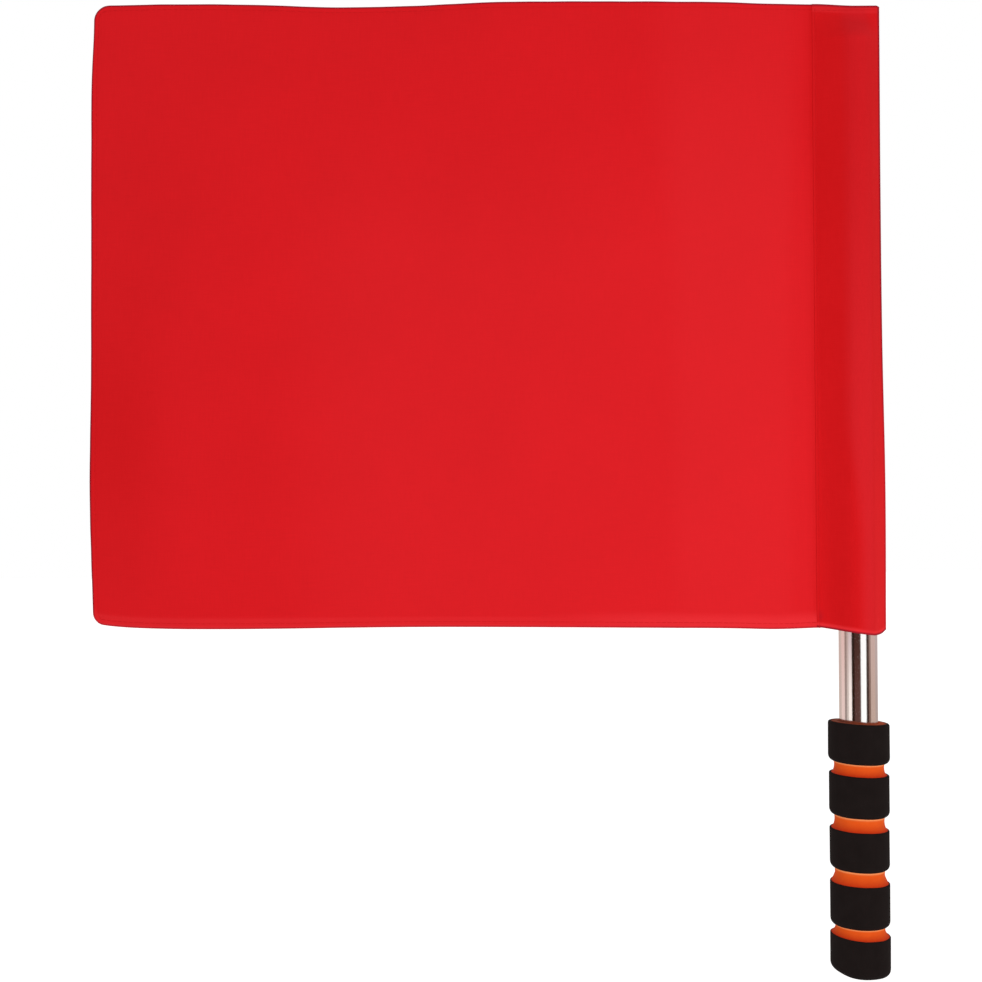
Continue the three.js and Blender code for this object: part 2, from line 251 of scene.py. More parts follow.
def upright_card(name, start, end, low_colour, high_colour):
    """A curved card between two angles, lit by itself and seen by reflections alone."""
    steps = max(2, round((end - start) / 4))
    first = math.radians(to_camera + start)
    bm = bmesh.new()
    edge = [bm.verts.new((card_radius * math.sin(first), -card_radius * math.cos(first), height))
            for height in (card_bottom, card_bottom + card_height)]
    line = bm.edges.new(edge)
    bmesh.ops.spin(bm, geom=edge + [line], axis=(0, 0, 1), cent=(0, 0, 0),
                   angle=math.radians(end - start), steps=steps)
    paint, tree, surface = new_material(name)
    place = add(tree, "ShaderNodeTexCoord")
    height = add(tree, "ShaderNodeSeparateXYZ", {0: place.outputs["Object"]})
    share = add(tree, "ShaderNodeMapRange",
                {"Value": height.outputs["Z"], "From Min": low_colour_at, "From Max": high_colour_at})
    colour = mix(tree, share.outputs[0], linear(low_colour), linear(high_colour))
    glow = add(tree, "ShaderNodeEmission", {"Color": colour, "Strength": card_strength})
    feed(tree, tree.nodes["Material Output"], {"Surface": glow.outputs[0]})
    card = new_object(name, bm, paint)
    for ray in ("camera", "diffuse", "transmission", "shadow"):
        setattr(card, "visible_" + ray, False)


for card in cards:
    upright_card(*card)

# %% [markdown]
# ## Polished stainless tube
# Stainless tube is drawn and buffed. It is plain metal, so its colour is a light grey and its metallic
# value is 1. Drawing leaves fine lines along it, which soften the reflections a little. Real ones are a
# few hundredths of a millimetre apart and would not show here, so they are drawn 0.4 mm apart and faint.

# %% Steel finish
draw_line_width = 0.4 * mm
draw_line_length = 60 * mm

steel, tree, surface = new_material("polished_stainless_tube")
place = add(tree, "ShaderNodeTexCoord")
along = add(tree, "ShaderNodeMapping",
            {"Vector": place.outputs["Object"], "Scale": (1, 1, draw_line_width / draw_line_length)})
lines = patches(tree, along.outputs[0], draw_line_width)
gloss = add(tree, "ShaderNodeMapRange", {"Value": lines, "To Min": 0.09, "To Max": 0.16})
feed(tree, surface, {"Base Color": linear("#e6e3e1"), "Metallic": 1, "Roughness": gloss.outputs[0],
                     "Normal": bumps(tree, lines, 0.03, 0.02 * mm)})

# %% [markdown]
# ## Turning a piece
# The tube and the grip's pieces are round, so each is an outline of (radius, height) points, spun about
# the pole. A closed outline gives a ring with a bore, and an open one from axis to axis a solid end.

# %% Tube
def turned(name, outline, material, closed=True, steps=144):
    """Spins an outline about the pole's axis."""
    bm = bmesh.new()
    points = [bm.verts.new((radius, 0, height)) for radius, height in outline]
    following = points[1:] + points[:1] if closed else points[1:]
    lines = [bm.edges.new(pair) for pair in zip(points, following)]
    bmesh.ops.spin(bm, geom=points + lines, axis=(0, 0, 1), cent=(0, 0, 0),
                   angle=2 * math.pi, steps=steps, use_merge=True)
    bmesh.ops.remove_doubles(bm, verts=bm.verts, dist=0.001 * mm)
    bmesh.ops.recalc_face_normals(bm, faces=bm.faces)
    return new_object(name, bm, material)


def bend(start, corner, end, steps=6):
    """Points of a soft corner from start to end, drawn towards the corner point."""
    shares = [step / steps for step in range(steps + 1)]
    return [tuple((1 - t) ** 2 * a + 2 * t * (1 - t) * b + t ** 2 * c
                  for a, b, c in zip(start, corner, end)) for t in shares]


tube_wall = 0.8 * mm
tube_edge = 0.2 * mm
tube_low, tube_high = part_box("pole_tube")
tube_radius = tube_high.x
bore_radius = tube_radius - tube_wall
tube_outline = [(bore_radius, tube_low.z)]
tube_outline += bend((tube_radius - tube_edge, tube_low.z), (tube_radius, tube_low.z),
                     (tube_radius, tube_low.z + tube_edge))
tube_outline += bend((tube_radius, tube_high.z - tube_edge), (tube_radius, tube_high.z),
                     (tube_radius - tube_edge, tube_high.z))
tube_outline += [(bore_radius, tube_high.z)]
steel_tube = turned("steel_tube", tube_outline, steel)
steel_tube.data.set_sharp_from_angle(angle=math.radians(40))
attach(steel_tube, "pole")
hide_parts("pole_tube")
print("Tube:", round(2 * tube_radius / mm, 2), "mm across")

# %% [markdown]
# ## Foam finishes
# The grip is closed-cell rubber foam: a black outer tube on an orange inner one. Grinding it to shape
# opens the outermost cells, so the surface is quite matt, with pores of a few tenths of a millimetre and
# a slightly cloudy colour. Cells are drawn with a Voronoi texture, because foam bubbles meet as
# Voronoi cells do. The orange isn't even: it is darker and redder low in each groove. A painted
# highlight runs along the cut edge high in each groove, and painted shade darkens the top face, most at
# its outer edge and on its left. A colour attribute keeps such a tint for each point, with its share as
# the fourth number.

# %% Black and orange foam
def foam_finish(name, dark, light, cell, cloud, roughness, tinted=False):
    """Ground closed-cell foam: cloudy colour, open cells and, where asked for, painted light and a darker
    tint.
    """
    material, tree, surface = new_material(name)
    place = add(tree, "ShaderNodeTexCoord").outputs["Object"]
    clouds = patches(tree, place, cloud, 4)
    cells = add(tree, "ShaderNodeTexVoronoi", {"Vector": place, "Scale": 1 / cell, "Randomness": 0.9})
    colour = mix(tree, clouds, linear(dark), linear(light))
    if tinted:
        # Painted highlight and shade, and a darker red, read from the colour attribute.
        light_and_tint = add(tree, "ShaderNodeAttribute", attribute_name="light_and_tint")
        colour = mix(tree, light_and_tint.outputs["Alpha"], colour, light_and_tint.outputs["Color"])
    pores = add(tree, "ShaderNodeMapRange", {"Value": cells.outputs["Distance"], "From Max": 0.45})
    feed(tree, surface, {"Base Color": colour, "Roughness": roughness, "Specular IOR Level": 0.08,
                         "Normal": bumps(tree, pores.outputs[0], 0.35, cell / 3)})
    return material


black_foam = foam_finish("black_rubber_foam_ground", "#150f0e", "#1e1716", 0.45 * mm, 6 * mm, 0.92)
orange_foam = foam_finish("orange_rubber_foam_ground", "#e65415", "#f0611d", 0.5 * mm, 5 * mm, 0.88,
                          tinted=True)
print("Foam finishes made")

# %% [markdown]
# ## Foam grip
# Each black ring has a thin top, feathered out over the orange core, and a turned-in lower lip where
# the finger groove was ground. The first ring shows its full wall at its top, because the grip was cut
# off there, through both foams. The core is one sleeve that follows the underside of all the rings and
# swells out in each groove's lower flank, which is steep in the upper two grooves and slanted in the
# others. Ground foam is never quite even, so noise moves every point of the surface a little. The grip
# isn't cut quite square either: its grooves lean down to the right, by three degrees at the top and by
# one and a half at the end, and its top cut tips a little towards the camera.

# %% Sizes of the grip
ring_names = ["grip_band_1", "grip_band_2", "grip_band_3", "grip_band_4", "grip_end_cap"]
rings = [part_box(name) for name in ring_names]
grip_low, grip_high = rings[-1][0].z, rings[0][1].z
ring_wall = 1.4 * mm
feather_height = 1.6 * mm
top_walls = [1.34 * mm, 1.1 * mm, 0.7 * mm, 0.55 * mm, 0.5 * mm]
flank_slants = [0.3, 0.3, 0.8, 0.6]
lip_inset = 1.9 * mm
lip_height = 3.2 * mm
rim_radius = 0.6 * mm
top_rim_radius = 1.3 * mm
end_radius = 3.8 * mm
end_wall = 9 * mm
glue_gap = 0.06 * mm
groove_floor = 12.2 * mm
flank_share = 0.6
grinding_depth = 0.12 * mm
grinding_length = 7 * mm
lean_at_top = math.radians(3)
lean_at_end = math.radians(1.4)
groove_lift = 1 * mm
groove_reach = 3 * mm
cut_reach = 8 * mm
cut_drop = 0.35 * mm
cut_tilt = math.radians(1.4)


def ramp(value, start, end):
    """0 at start, 1 at end, smooth between them and level beyond. It falls where end is the lower one."""
    t = min(1, max(0, (value - start) / (end - start)))
    return t * t * (3 - 2 * t)


def hump(value, centre, reach):
    """1 at the centre and nearly 0 beyond twice the reach, smooth between them."""
    return math.exp(-((value - centre) / reach) ** 2)


def uneven(piece):
    """Moves every point along its normal by smooth noise, as hand grinding does."""
    for vertex in piece.data.vertices:
        vertex.co += vertex.normal * grinding_depth * noise.noise(vertex.co / grinding_length)


def skew(piece):
    """Leans every level of the grip to the right, tilts its top cut and lifts the last groove's left."""
    end_top = rings[-1][1]
    for vertex in piece.data.vertices:
        share = (vertex.co.z - grip_low) / (grip_high - grip_low)
        lean = lean_at_end + (lean_at_top - lean_at_end) * share
        left = max(0, -vertex.co.x / end_top.x)
        lift = groove_lift * left ** 2 * hump(vertex.co.z, end_top.z, groove_reach)
        cut = ramp(vertex.co.z, grip_high - cut_reach, grip_high)
        lift -= cut * (cut_drop + vertex.co.y * math.tan(cut_tilt))
        vertex.co.z += lift - vertex.co.x * math.tan(lean)


print("Ring heights in mm:", [round((high.z - low.z) / mm, 1) for low, high in rings])


# %% Black rings
def ring_outline(low, high, top_wall, rim):
    """Outline of a black ring: top wall and rim, straight side, lip turned in at the groove."""
    radius, top, bottom = high.x, high.z, low.z
    inner, lip = radius - ring_wall, radius - lip_inset
    outline = [(inner, bottom + ring_wall)]
    outline += bend((lip, bottom), (radius, bottom + lip_height / 4), (radius, bottom + lip_height), 10)
    outline += bend((radius, top - rim), (radius, top), (radius - top_wall, top))
    return outline + [(inner, top - feather_height)]


for number, (low, high) in enumerate(rings[:-1], start=1):
    outline = ring_outline(low, high, top_walls[number - 1], top_rim_radius if number == 1 else rim_radius)
    ring = turned(f"foam_ring_{number}", outline, black_foam)
    uneven(ring)
    skew(ring)
    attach(ring, "pole")
    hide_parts(ring_names[number - 1])

# %% [markdown]
# The closed end was ground by hand, and it is rounder on its left than on its right: after the spin, the
# points low on the left are lifted.

# %% Closed black end
low, high = rings[-1]
end_side = high.x
end_lift = 2.7 * mm
inner = end_side - ring_wall
end_outline = [(0, low.z)]
end_outline += bend((end_side - end_radius, low.z), (end_side, low.z), (end_side, low.z + end_radius), 12)
end_outline += bend((end_side, high.z - rim_radius), (end_side, high.z), (end_side - top_walls[-1], high.z))
end_outline += [(inner, high.z - feather_height), (inner, low.z + end_wall), (0, low.z + end_wall)]
foam_end = turned("foam_end", end_outline, black_foam, closed=False)
uneven(foam_end)
for vertex in foam_end.data.vertices:
    left = max(0, -vertex.co.x / end_side)
    low_down = 1 - (vertex.co.z - low.z) / (high.z - low.z)
    vertex.co.z += end_lift * left ** 2.4 * max(0, low_down) ** 1.5
skew(foam_end)
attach(foam_end, "pole")
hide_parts("grip_end_cap")

# %% Orange core
core_bore = tube_radius + 0.15 * mm
# Tints of the orange: a darker red low in each groove, a painted highlight high in it, and painted shade on
# the top face.
low_groove_tint = "#b51a08"
highlight_tint = "#ff9f62"
top_shade_tint = "#864c39"
outer_shade_tint = "#552a1d"
highlight_from = 0.75
cut_skin = 0.1 * mm
core_inset = ring_wall + glue_gap
core_foot = grip_low + end_wall + glue_gap
core_outline = [(core_bore, core_foot), (rings[-1][1].x - core_inset, core_foot)]
for number in reversed(range(len(rings))):
    low, high = rings[number]
    core_outline += [(high.x - core_inset, high.z - feather_height)]
    if number == 0:
        core_outline += [(high.x - core_inset, high.z)]
        continue
    above_low, above_high = rings[number - 1]
    lip = above_high.x - lip_inset - glue_gap
    middle = high.z + (above_low.z - high.z) * flank_share
    flank_foot = high.x - top_walls[number] - glue_gap
    half_slant = flank_slants[number - 1] / 2
    corner = (groove_floor + (flank_foot - groove_floor) * half_slant,
              high.z + (middle - high.z) * half_slant)
    core_outline += bend((flank_foot, high.z), corner, (groove_floor, middle), 12)
    core_outline += bend((groove_floor, middle), (groove_floor, above_low.z), (lip, above_low.z), 8)[1:]
    core_outline += [(above_high.x - core_inset, above_low.z + ring_wall)]
core_outline += [(core_bore, grip_high)]
foam_core = turned("foam_core", core_outline, orange_foam)


def light_and_tint_at(place):
    """Tint of the orange foam at a place, and its share: painted highlight, painted shade or a darker red.
    """
    on_top_cut = place.z > grip_high - cut_skin
    # Painted shade on the top cut, darkest beside the black wall.
    if on_top_cut and place.xy.length > groove_floor:
        return outer_shade_tint, 0.85
    # Painted shade round the tube, darker to the left.
    if on_top_cut:
        return top_shade_tint, min(1, 0.6 - 0.4 * place.x / groove_floor)
    for (low, high), (above_low, above_high) in zip(rings[1:], rings):
        depth = (place.z - high.z) / (above_low.z - high.z)
        # A painted highlight high in the groove.
        if highlight_from < depth <= 1:
            return highlight_tint, 0.9 * ramp(depth, 0.8, 0.95)
        # Darker and redder towards the bottom of the groove.
        if 0 <= depth <= highlight_from:
            return low_groove_tint, 0.75 * (1 - depth / highlight_from) ** 1.4
    return low_groove_tint, 0


# Painted light and tint of the orange core, for each point.
light_and_tint = foam_core.data.color_attributes.new("light_and_tint", "FLOAT_COLOR", "POINT")
for vertex in foam_core.data.vertices:
    tint, share = light_and_tint_at(vertex.co)
    light_and_tint.data[vertex.index].color = (*linear(tint)[:3], share)
skew(foam_core)
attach(foam_core, "pole")
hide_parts("grip_core")

# %% [markdown]
# ## Red polyester cloth
# The cloth is plain-woven polyester, dyed right through, with a dull face. Two sets of bands at right
# angles, read from the flat cloth's own map in metres, make the over-and-under of a plain weave.
# Stretched noise gives the thick and thin places of real yarn, and broad noise gives faint clouds where
# the dye took unevenly. Three attributes paint light and shade into the red at each point:
# - layers is 1 where other layers or the tube lie behind the cloth. No light comes through from the back
#   there, so the red is painted a little deeper, as painted shade. It also paints shade on the fly side
#   at mid-height, where no layer lies behind.
# - light is painted light: 1 where a hem rolls up towards the light, and small where the cloth leans to it.
# - fold is painted shade, 1 along a hard fold, which is darker, because the light meets the yarns end on.
#   It also paints shade at the back hem's step, in a tuck at the sleeve's mouth and faintly over the tube.

# %% Cloth finish
yarn_spacing = 0.28 * mm
slub_length = 5 * mm
cloud_size = 60 * mm
cloud_share = 1.6
single_reds = ("#d9191f", "#e31b22")
# The deeper reds that layers paints in as shade.
layer_shade_reds = ("#d11216", "#d9171c")
# Painted shade along folds and creases.
fold_shade_red = "#9b1826"
# Painted light.
light_red = "#ec3036"
band_period = 2 * math.pi / 20
tone_names = ("layers", "light", "fold")


def woven_finish(name):
    """Plain-woven polyester, mapped in metres along its own yarns."""
    material, tree, surface = new_material(name)
    flat = add(tree, "ShaderNodeUVMap", uv_map="flat")
    weave = []
    for direction in ("X", "Y"):
        bands = add(tree, "ShaderNodeTexWave",
                    {"Vector": flat.outputs[0], "Scale": band_period / (2 * yarn_spacing)},
                    wave_type="BANDS", bands_direction=direction)
        weave.append(bands.outputs["Fac"])
    over_under = figure(tree, "ABSOLUTE", figure(tree, "SUBTRACT", *weave))
    slubs = []
    for stretch in ((1, yarn_spacing / slub_length, 1), (yarn_spacing / slub_length, 1, 1)):
        along = add(tree, "ShaderNodeMapping", {"Vector": flat.outputs[0], "Scale": stretch})
        slubs.append(patches(tree, along.outputs[0], 2 * yarn_spacing, 1))
    yarn = figure(tree, "ADD", *slubs)
    clouds = patches(tree, flat.outputs[0], cloud_size, 3)
    both = figure(tree, "MULTIPLY_ADD", clouds, cloud_share, yarn)
    low, high = 0.6 + 0.3 * cloud_share, 1.4 + 0.7 * cloud_share
    tone = add(tree, "ShaderNodeMapRange", {"Value": both, "From Min": low, "From Max": high})
    shade, layer_shade = [mix(tree, tone.outputs[0], linear(dark), linear(light))
                      for dark, light in (single_reds, layer_shade_reds)]
    # Painted shade of layers, painted light and painted fold shade, each mixed in by its attribute.
    for name, red in zip(tone_names, (layer_shade, linear(light_red), linear(fold_shade_red))):
        share = add(tree, "ShaderNodeAttribute", attribute_name=name)
        shade = mix(tree, share.outputs["Fac"], shade, red)
    feed(tree, surface, {"Base Color": shade, "Roughness": 0.9, "Specular IOR Level": 0.05,
                         "Normal": bumps(tree, over_under, 0.2, yarn_spacing / 5)})
    return material


red_cloth = woven_finish("red_polyester_plain_weave")
print("Weave drawn at", yarn_spacing / mm, "mm")

# %% [markdown]
# ## Where the cloth lies
# The cloth hangs from the upright pole's sleeve and is held out flat, with shallow waves: it comes a few
# millimetres forward beside the sleeve and falls back again towards the fly. Two rows of shares, for the
# top and the bottom edge, give the depth of those waves at even steps from seam to fly, and a smooth
# curve runs through each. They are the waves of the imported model. A third row, in millimetres, moves the
# fly edge out and in from bottom to top, as this flag was sewn.

# %% Waves of the cloth
panel_low, panel_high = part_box("flag_panel")
seam_distance = 20.5 * mm
seam_overlap = 3 * mm
hoist = seam_distance - seam_overlap
panel_bottom = 110 * mm
panel_height = 310.5 * mm
fly_top = 380 * mm
fly_bottom = 382.5 * mm
fly_rise = 3 * mm
fly_bow = 1.3 * mm
fly_wobble = [-0.25, 0, 0.25, -0.1, -0.4, -0.2, -0.05, 0.25, 0.4, 0.3, -0.9]
top_corner = 8 * mm
bottom_corner = 5 * mm
wave_depth = 8.2 * mm
top_waves = [0, 0.8, 1, 1, 0.85, 0.12, -0.16, 0.3, 0.4, 0.12]
bottom_waves = [0, 0.55, 0.45, 0.1, -0.2, -0.3, -0.1, 0.3, 0.5, 0.1]
sag_share = 0.25
panel_width = fly_bottom - hoist


def through(shares, where):
    """Smooth curve through evenly spaced shares, at a place from 0 to 1."""
    place = where * (len(shares) - 1)
    index = min(int(place), len(shares) - 2)
    t = place - index
    before, start, end = shares[max(index - 1, 0)], shares[index], shares[index + 1]
    after = shares[min(index + 2, len(shares) - 1)]
    leaving, arriving = (end - before) / 2, (after - start) / 2
    return ((2 * start - 2 * end + leaving + arriving) * t ** 3
            + (3 * end - 3 * start - 2 * leaving - arriving) * t ** 2 + leaving * t + start)


def wave_at(across, up):
    """How far the cloth's middle lies towards the viewer."""
    blend = up * up * (3 - 2 * up)
    top, bottom = through(top_waves, across), through(bottom_waves, across)
    sag = sag_share * math.sin(math.pi * up) * math.sin(2 * math.pi * across)
    return wave_depth * (bottom + (top - bottom) * blend - sag * across)


print("Panel node in mm:", [round(value / mm, 1) for value in (*panel_low, *panel_high)])

# %% [markdown]
# ## Hem
# The top, fly and bottom edges are folded over to the back and sewn 2.7 mm in from the fold. Seen from
# the front, a hem is a soft roll along the edge, a shallow ditch where the thread pulls the layers
# together, and small puckers beside it, because the thread is a little tighter than the cloth. From
# the back the folded layer ends in a step. All of it is a height that is added to each point. The lower
# edge is drawn up at its fly corner, and it sags a little near that corner and beside the seam.

# %% Relief of the hem
cloth_thickness = 0.34 * mm
hem_width = 4.6 * mm
hem_fold = 0.4 * mm
hem_inner_edge = (hem_width + 0.3 * mm, hem_width - 0.2 * mm)
roll_height = 0.14 * mm
edge_rounding = 0.45 * mm
stitch_inset = 2.7 * mm
stitch_ditch = 0.12 * mm
pucker_depth = 0.34 * mm
pucker_length = 13 * mm
pucker_reach = 11 * mm
soft_fold_depth = 0.55 * mm
soft_fold_length = 70 * mm
corner_lift = 2.4 * mm
corner_reach = 10 * mm
seam_lift = 1 * mm
drawn_height = 60 * mm
bottom_sag = 0.7 * mm
seam_sag = 0.7 * mm
fold_reach = 1.1 * mm


def rounded(place, rise):
    """Rise of a point once its column is drawn in to end on the rounded fly corners."""
    from_fly = max(0, panel_width - place)
    low, high = 0, panel_height
    if from_fly < bottom_corner:
        low = bottom_corner - math.sqrt(bottom_corner ** 2 - (bottom_corner - from_fly) ** 2)
    if from_fly < top_corner:
        high = panel_height - top_corner + math.sqrt(top_corner ** 2 - (top_corner - from_fly) ** 2)
    return low + (high - low) * rise / panel_height


def edge_distance(place, rise):
    """Distance to the nearest hemmed edge, rounded at the two fly corners."""
    from_fly = max(0, panel_width - place)
    nearest = math.inf
    for from_edge, radius in ((rise, bottom_corner), (panel_height - rise, top_corner)):
        if from_fly < radius and from_edge < radius:
            nearest = min(nearest, radius - math.hypot(radius - from_fly, radius - from_edge))
        nearest = min(nearest, from_fly, from_edge)
    return max(0, nearest)


def front_relief(distance):
    """Height of the front face over a plain cloth, at a distance from the edge."""
    roll = roll_height * math.sin(math.pi * min(1, distance / stitch_inset))
    return roll - stitch_ditch * hump(distance, stitch_inset, 0.55 * mm)


def back_relief(distance):
    """Height of the back face over a plain cloth, with the folded layer and its step."""
    folded = hem_fold * ramp(distance, *hem_inner_edge)
    return folded - stitch_ditch * hump(distance, stitch_inset, 0.5 * mm)


def puckers(place, rise, distance):
    """Small waves along the hem, deepest at its thread and gone a centimetre further in."""
    round_it = place if min(rise, panel_height - rise) < panel_width - place else rise
    fade = hump(distance, 0, pucker_reach) * ramp(place, 0, 30 * mm)
    ripple = noise.noise(Vector((round_it / pucker_length, rise / panel_height * 3, 4.2)))
    return pucker_depth * ripple * fade


def soft_folds(place, rise):
    """Very shallow hand-sized unevenness of cloth that has been folded and put away."""
    spot = Vector((place, rise, 0)) / soft_fold_length
    calm = ramp(place, 0, 25 * mm)
    return soft_fold_depth * noise.noise(spot + Vector((3.1, 7.7, 0))) * calm


def fold_at(distance, reach=fold_reach):
    """Share of painted fold shade: 1 beside the edge of a fold, 0 a little further in."""
    return min(1, 2 * max(0, 1 - distance / reach))


def panel_tones(place, rise):
    """Shares of painted layers shade, painted light and painted fold shade of the panel: deeper beside the
    seam and at mid-height by the fly, brighter low beside the seam.
    """
    seam_layers = ramp(place, seam_overlap + 3.6 * mm, seam_overlap)
    # Painted shade on the fly side at mid-height, where no layer lies behind.
    fly_shade = 0.6 * hump(rise, 100 * mm, 60 * mm)
    fly_shade *= ramp(place, panel_width - 50 * mm, panel_width - 15 * mm)
    near_seam = ramp(place, 190 * mm, 60 * mm)
    # Painted light along the bottom hem and its roll, where the cloth leans to the lamp and on its swell by
    # the seam.
    hem_light = 0.8 * near_seam * ramp(rise, 11 * mm, 3 * mm)
    hem_light = max(hem_light, 0.36 * ramp(rise, 6.2 * mm, 4.6 * mm))
    roll_light = 0.75 * ramp(rise, 2 * mm, 1 * mm)
    lean_light = 0.14 * ramp(place, 290 * mm, 220 * mm)
    lean_light *= ramp(rise, 270 * mm, 170 * mm)
    swell_light = 0.25 * ramp(place, 94 * mm, 64 * mm) * ramp(place, 6 * mm, 20 * mm)
    swell_light *= 1 - 0.55 * ramp(rise, 210 * mm, 310 * mm)
    # Painted shade along the hemmed edges, half as much right at the bottom.
    fold = fold_at(edge_distance(place, rounded(place, rise)))
    fold *= 0.5 + 0.5 * ramp(rise, 1 * mm, 4 * mm)
    return max(seam_layers, fly_shade), max(hem_light, roll_light, lean_light, swell_light), fold


def back_tones(place, rise):
    """The same on the back, where the folded hem is painted deeper and its turned-in edge throws a thin
    painted shade.
    """
    layers, light, fold = panel_tones(place, rise)
    distance = edge_distance(place, rounded(place, rise))
    hem = 0.9 * ramp(distance, *hem_inner_edge)
    step = 0.5 * hump(distance, hem_width + 0.35 * mm, 0.4 * mm)
    return max(layers, hem), 0.4 * light, max(fold, step)


def panel_point(place, rise, side):
    """A point of the panel: side is -1 on its front face and 1 on its back."""
    up = rise / panel_height
    across = max(0, place - seam_overlap) / (panel_width - seam_overlap)
    fly = fly_bottom + (fly_top - fly_bottom) * up + fly_bow * math.sin(math.pi * (1 - up) ** 2)
    fly += through(fly_wobble, up) * mm
    height = rounded(place, rise)
    distance = edge_distance(place, height)
    middle = -wave_at(across, up) + puckers(place, height, distance) + soft_folds(place, rise)
    hemmed = ramp(place, seam_overlap, seam_overlap + 1 * mm)
    relief = front_relief(distance) if side < 0 else back_relief(distance)
    roundness = math.sqrt(min(1, max(0, distance / edge_rounding) + 0.02))
    offset = side * (cloth_thickness / 2 + relief * hemmed) * (roundness * hemmed + 1 - hemmed)
    fold_middle = hem_fold / 2 * hemmed * (1 - roundness)
    x = -hoist - place * (fly - hoist) / panel_width
    from_fly = max(0, panel_width - place)
    drawn_up = corner_lift * math.exp(-from_fly / corner_reach) * ramp(rise, drawn_height, 0)
    drawn_up += seam_lift * ramp(place, 40 * mm, 0) * ramp(up, 0.8, 1)
    sag = bottom_sag * hump(across, 0.8, 0.18) + seam_sag * hump(place, 22 * mm, 18 * mm)
    drawn_up -= sag * ramp(rise, drawn_height, 0)
    return Vector((x, middle + offset + fold_middle, panel_bottom + height + drawn_up + fly_rise * across))


print("Hem:", hem_width / mm, "mm wide, sewn", stitch_inset / mm, "mm in")

# %% [markdown]
# ## Panel
# A bmesh grid has one vertex for each step across and up the flat cloth. The steps are fine beside the
# hems, where the relief is, and coarse in the middle. The grid keeps its flat place in a layer of its
# own, for the weave. It is extruded once for the back face, and then every vertex goes to its place.

# %% Panel mesh
def steps_between(start, end, size):
    """Evenly spaced places from start up to, and without, end."""
    count = max(1, round((end - start) / size))
    return [start + (end - start) * index / count for index in range(count)]


fine_step = 0.45 * mm
medium_step = 1.2 * mm
coarse_step = 3.2 * mm
fine_zone = 5.6 * mm
medium_zone = 16 * mm
edge_steps = [0, 0.1 * mm, 0.3 * mm]
from_edge = edge_steps + steps_between(0.6 * mm, fine_zone, fine_step)
from_edge += steps_between(fine_zone, medium_zone, medium_step) + [medium_zone]
columns = steps_between(0, seam_overlap + 2 * mm, 0.8 * mm)
columns += steps_between(seam_overlap + 2 * mm, panel_width - medium_zone, coarse_step)
columns += [panel_width - inset for inset in reversed(from_edge)]
rows = from_edge[:-1] + steps_between(medium_zone, panel_height - medium_zone, coarse_step)
rows += [panel_height - inset for inset in reversed(from_edge)]


def sheet_grid(columns, rows):
    """A grid whose vertices keep their column and row in a layer named flat, in metres."""
    bm = bmesh.new()
    last_column, last_row = len(columns) - 1, len(rows) - 1
    bmesh.ops.create_grid(bm, x_segments=last_column, y_segments=last_row, size=0.5)
    layer = bm.verts.layers.float_vector.new("flat_place")
    for name in tone_names:
        bm.verts.layers.float.new(name)
    for vertex in bm.verts:
        column = round((vertex.co.x + 0.5) * last_column)
        row = round((vertex.co.y + 0.5) * last_row)
        vertex[layer] = (columns[column], rows[row], 0)
    return bm, layer


def write_tones(bm, vertex, tones):
    """Writes a vertex's shares of layers, light and fold."""
    for name, share in zip(tone_names, tones):
        vertex[bm.verts.layers.float[name]] = share


def map_flat(bm, layer):
    """Writes the flat place of every corner to the UV map that the weave reads."""
    flat = bm.loops.layers.uv.new("flat")
    for face in bm.faces:
        for loop in face.loops:
            loop[flat].uv = loop.vert[layer].xy


bm, flat_place = sheet_grid(columns, rows)
front = list(bm.verts)
grown = bmesh.ops.extrude_face_region(bm, geom=bm.faces[:], use_keep_orig=True)
back = [item for item in grown["geom"] if isinstance(item, bmesh.types.BMVert)]
for side, vertices, tones_at in ((-1, front, panel_tones), (1, back, back_tones)):
    for vertex in vertices:
        place, rise = vertex[flat_place].xy
        vertex.co = panel_point(place, rise, side)
        write_tones(bm, vertex, tones_at(place, rise))
bmesh.ops.recalc_face_normals(bm, faces=bm.faces)
map_flat(bm, flat_place)
cloth_panel = new_object("cloth_panel", bm, red_cloth)
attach(cloth_panel, "flag")
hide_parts("flag_panel")

# %% [markdown]
# ## Sleeve
# The sleeve is a strip of the same cloth, folded round the pole. Its two edges lie either side of the
# panel and are sewn to it, and its fold stands a little beyond the tube. Seen from the tip, half of its
# section is a seam with a rounded edge, a flank that leans to the tube, an arc over the tube, and a short
# flank to the crease. High up the cloth is drawn tight and the flank starts right beside the thread. Near
# the bottom it is slack, starts later and sags in before it meets the tube. At the top the two faces lean
# together and end in a flat sewn hem.

# %% Section of the sleeve
sleeve_low, sleeve_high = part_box("pole_sleeve")
sleeve_gap = 0.3 * mm
sleeve_radius = tube_radius + sleeve_gap + cloth_thickness
seam_half = 0.56 * mm
seam_inset = 1.3 * mm
seam_ditch = 0.06 * mm
tight_overlap = 1.5 * mm
crease_half = 0.75 * mm
crease_shares = [1.07, 1.09, 1.015, 0.995, 1]
crease_distance = 13.2 * mm
slack_depth = 1.5 * mm
mouth_rise = 3.8 * mm
mouth_low_distance = 6.5 * mm
corner_rise = 1.5 * mm
top_corner_drop = 0.7 * mm
crease_reach = 1.8 * mm
cloth_top = sleeve_high.z
closing_top = cloth_top - 4.0 * mm
closing_bottom = closing_top - 14 * mm
gather_bottom = closing_bottom - 14 * mm
gather_depth = 0.35 * mm
mouth_height = 30 * mm
sleeve_bottom = sleeve_low.z - 0.6 * mm


def spoke(angle, radius):
    """The point of a circle at an angle."""
    return Vector((math.cos(angle), math.sin(angle))) * radius


def touch_angle(distance, half):
    """Angle at which a straight flank from (distance, half) touches the round of the sleeve."""
    return math.acos(sleeve_radius / math.hypot(distance, half)) + math.atan2(half, distance)


